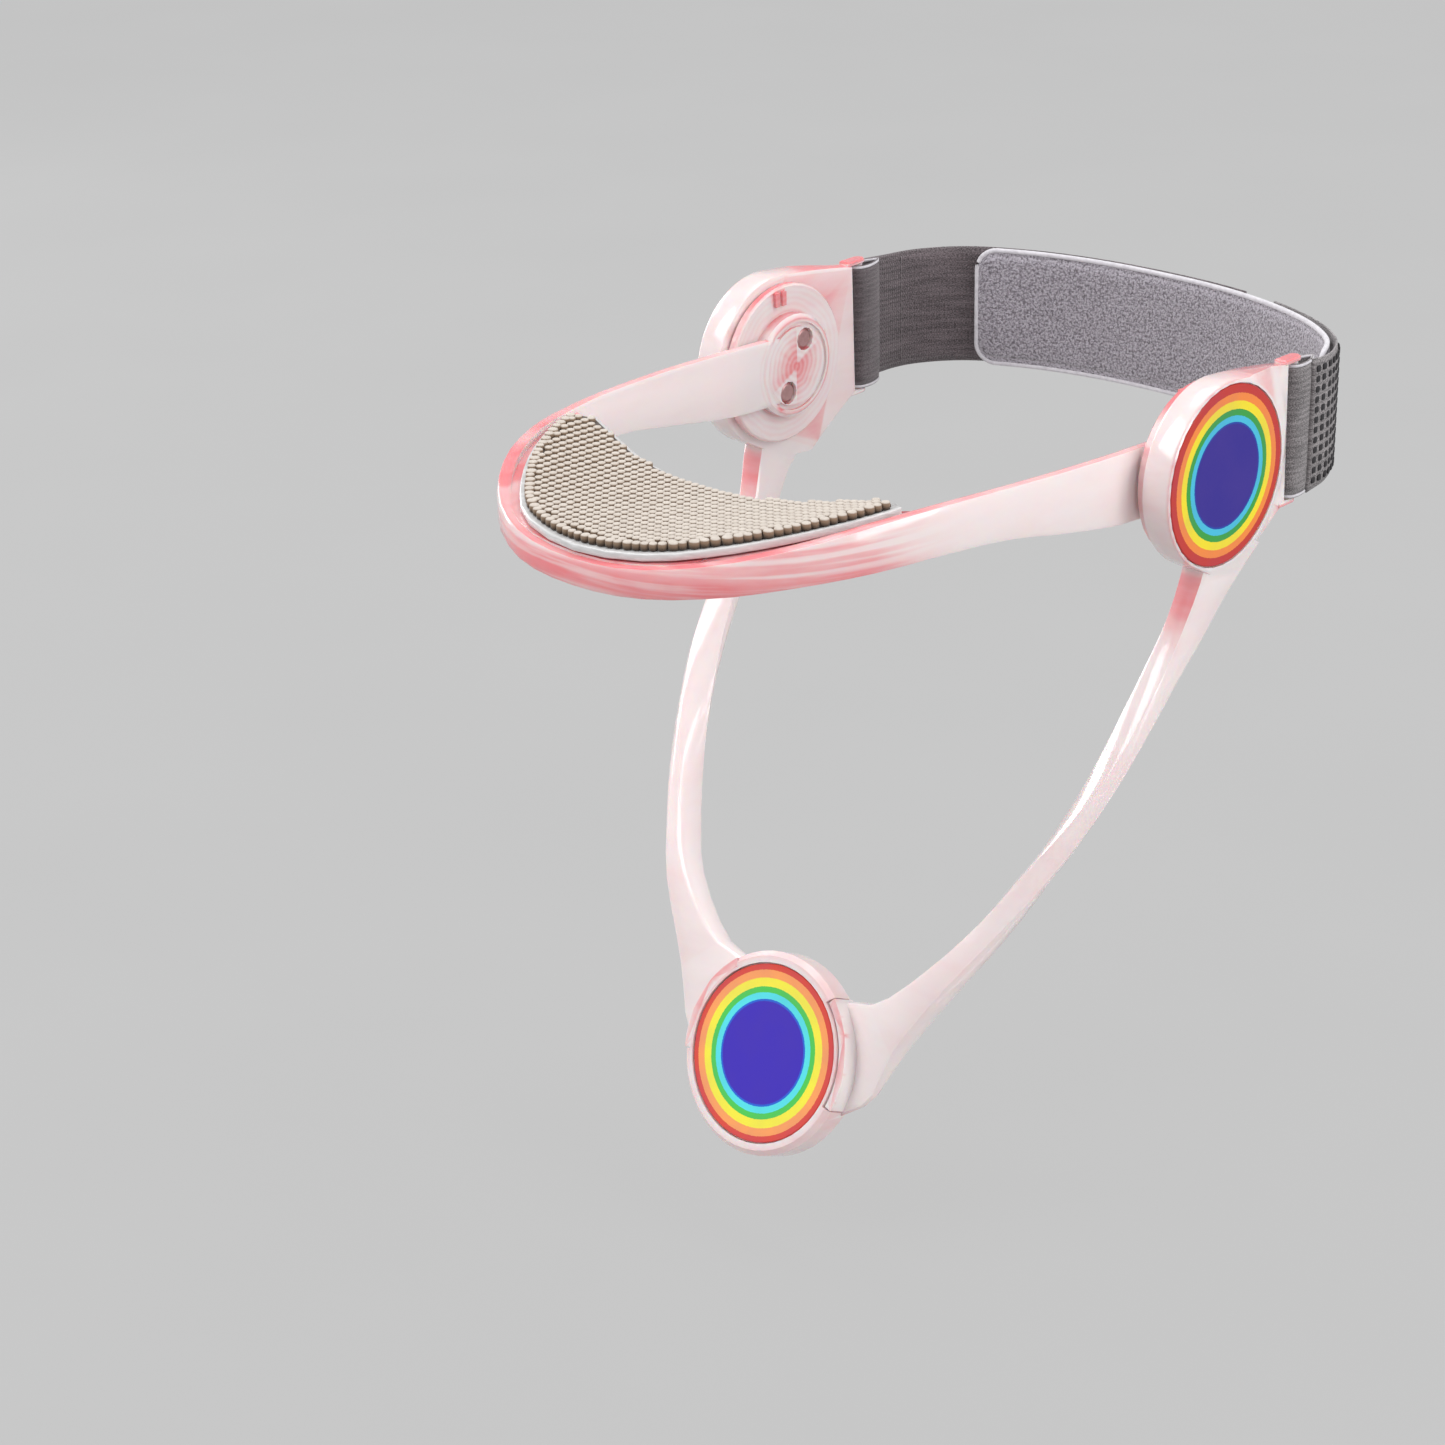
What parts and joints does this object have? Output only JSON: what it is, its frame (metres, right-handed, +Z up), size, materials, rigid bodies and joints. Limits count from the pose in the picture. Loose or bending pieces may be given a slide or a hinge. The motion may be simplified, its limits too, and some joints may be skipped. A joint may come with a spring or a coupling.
{
  "type": "chin-rest neck support",
  "caption": "Chin-rest neck support: a tilting yoke with a ribbed chin pad, two round side hubs, twisted legs down to a round chest disc, and a hook-and-loop strap behind the neck.",
  "frame": {"origin": "midway between the two side hubs on the hinge line of the chin yoke, where the wearer's neck passes", "axes": "+Z up, -Y toward the chin pad, +Y toward the neck strap, +X along the hinge line toward the wearer's left hub"},
  "size_m": [0.1372, 0.2038, 0.1789],
  "materials": {
    "pink_plastic": "clear pink injection-moulded plastic, polished",
    "rim_grey": "light grey moulded rim, satin gloss",
    "pad_beige": "soft grey-beige ribbed cushion, matt",
    "label_print": "printed disc with coloured rings round an indigo centre, satin",
    "steel": "bright small screws and pins",
    "soft_pink": "soft translucent silicone, satin",
    "elastic_grey": "dark grey knitted elastic",
    "panel_grey": "light mauve-grey brushed loop fabric with white binding"
  },
  "bodies": {
    "support_frame": {"leg_right": "pink_plastic", "leg_left": "pink_plastic", "hub_label_right": "label_print", "hub_label_left": "label_print", "stop_pin_right": "steel", "stop_pin_left": "steel", "chest_cup": "pink_plastic", "chest_label": "label_print", "chest_back_plate": "pink_plastic", "chest_pad": "soft_pink", "chest_screw_right": "steel", "chest_screw_left": "steel"},
    "yoke": {"chin_yoke": "pink_plastic", "pad_rim": "rim_grey", "chin_pad": "pad_beige", "hub_retainer_right": "pink_plastic", "hub_retainer_left": "pink_plastic", "hub_screw_upper_right": "steel", "hub_screw_upper_left": "steel", "hub_screw_lower_right": "steel", "hub_screw_lower_left": "steel"},
    "band": {"neck_band": "elastic_grey"},
    "tab": {"tab_strap": "elastic_grey", "tab_panel": "panel_grey"}
  },
  "joints": [
    {"name": "chin_tilt", "type": "hinge", "parent": "support_frame", "child": "yoke", "pos_m": [0, 0, 0], "axis": [1, 0, 0], "range_deg": [-30, 40]},
    {"name": "band_swing", "type": "hinge", "parent": "support_frame", "child": "band", "pos_m": [-0.0634, 0.031, 0], "axis": [0, 0, 1], "range_deg": [0, 80]},
    {"name": "tab_swing", "type": "hinge", "parent": "support_frame", "child": "tab", "pos_m": [0.0634, 0.031, 0], "axis": [0, 0, 1], "range_deg": [0, 35]}
  ]
}
